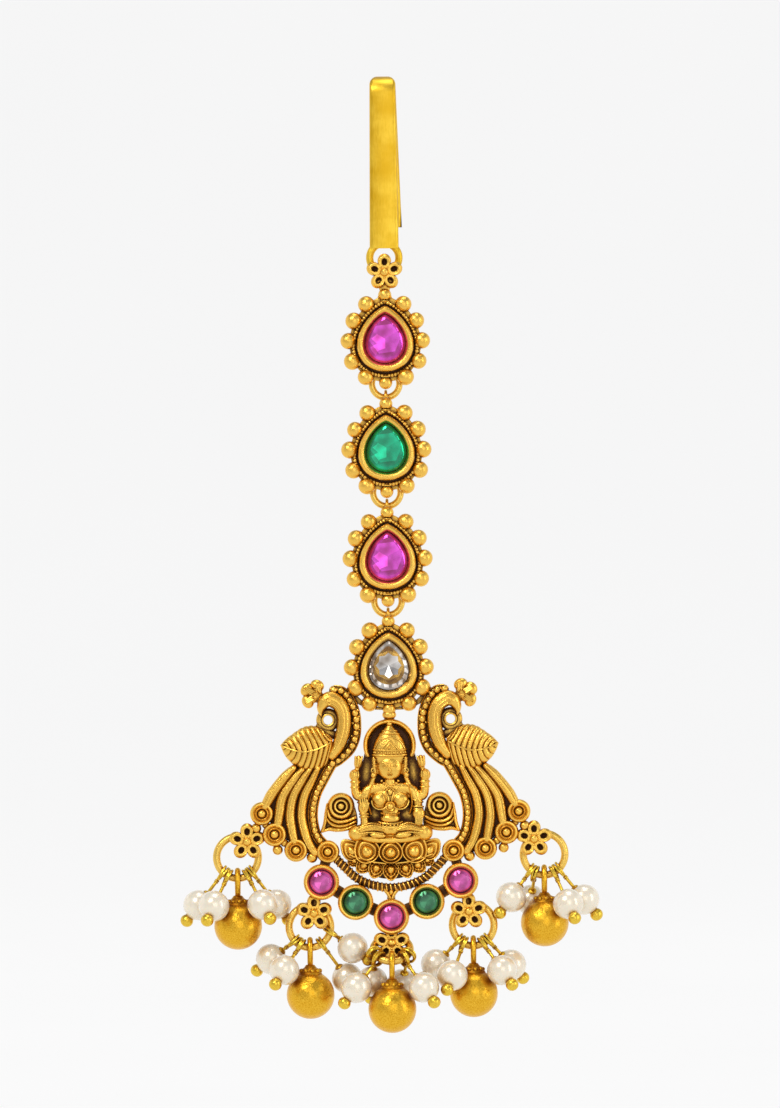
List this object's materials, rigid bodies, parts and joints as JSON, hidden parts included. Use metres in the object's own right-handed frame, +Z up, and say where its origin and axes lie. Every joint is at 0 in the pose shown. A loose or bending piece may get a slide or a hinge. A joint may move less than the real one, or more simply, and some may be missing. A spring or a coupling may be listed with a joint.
{
  "type": "maang tikka",
  "caption": "Antique-gold maang tikka: hair hook, chain of pear-shaped gem links and an openwork peacock pendant with gems and hanging bead clusters.",
  "frame": {"origin": "inside of the hair hook's bend, where the hook hangs over a lock of hair or a cord", "axes": "+Z up along the hanging chain, -Y towards the front of the stones and castings, X across the pendant"},
  "size_m": [0.0508, 0.0136, 0.1147],
  "materials": {
    "antique_gold": "antique gold with dark brown recesses",
    "satin_gold": "satin yellow gold",
    "pearl": "cream pearl lustre on gold pins",
    "ruby_glass": "polished pink glass",
    "emerald_glass": "polished green glass",
    "clear_glass": "faceted clear glass on foil"
  },
  "bodies": {
    "chain": {"hair_hook": "satin_gold", "gem_link_1": "antique_gold", "link_stone_1": "ruby_glass", "chain_ring_1": "antique_gold", "gem_link_2": "antique_gold", "link_stone_2": "emerald_glass", "chain_ring_2": "antique_gold", "gem_link_3": "antique_gold", "link_stone_3": "ruby_glass", "chain_ring_3": "antique_gold"},
    "pendant": {"pendant_casting": "antique_gold", "pendant_stone": "clear_glass", "round_stone_1": "ruby_glass", "round_stone_2": "emerald_glass", "round_stone_3": "ruby_glass", "round_stone_4": "emerald_glass", "round_stone_5": "ruby_glass", "drop_ring_1": "satin_gold", "gold_drop_1": "satin_gold", "pearl_drop_1_1": "pearl", "pearl_drop_1_2": "pearl", "pearl_drop_1_3": "pearl", "pearl_drop_1_4": "pearl", "drop_ring_2": "satin_gold", "gold_drop_2": "satin_gold", "pearl_drop_2_1": "pearl", "pearl_drop_2_2": "pearl", "pearl_drop_2_3": "pearl", "pearl_drop_2_4": "pearl", "drop_ring_3": "satin_gold", "gold_drop_3": "satin_gold", "pearl_drop_3_1": "pearl", "pearl_drop_3_2": "pearl", "pearl_drop_3_3": "pearl", "pearl_drop_3_4": "pearl", "drop_ring_4": "satin_gold", "gold_drop_4": "satin_gold", "pearl_drop_4_1": "pearl", "pearl_drop_4_2": "pearl", "pearl_drop_4_3": "pearl", "pearl_drop_4_4": "pearl", "drop_ring_5": "satin_gold", "gold_drop_5": "satin_gold", "pearl_drop_5_1": "pearl", "pearl_drop_5_2": "pearl", "pearl_drop_5_3": "pearl", "pearl_drop_5_4": "pearl"}
  },
  "joints": [
    {"name": "pendant_swing", "type": "hinge", "parent": "chain", "child": "pendant", "pos_m": [0, -0.0016, -0.06371], "axis": [1, 0, 0], "range_deg": [-35, 60]}
  ]
}
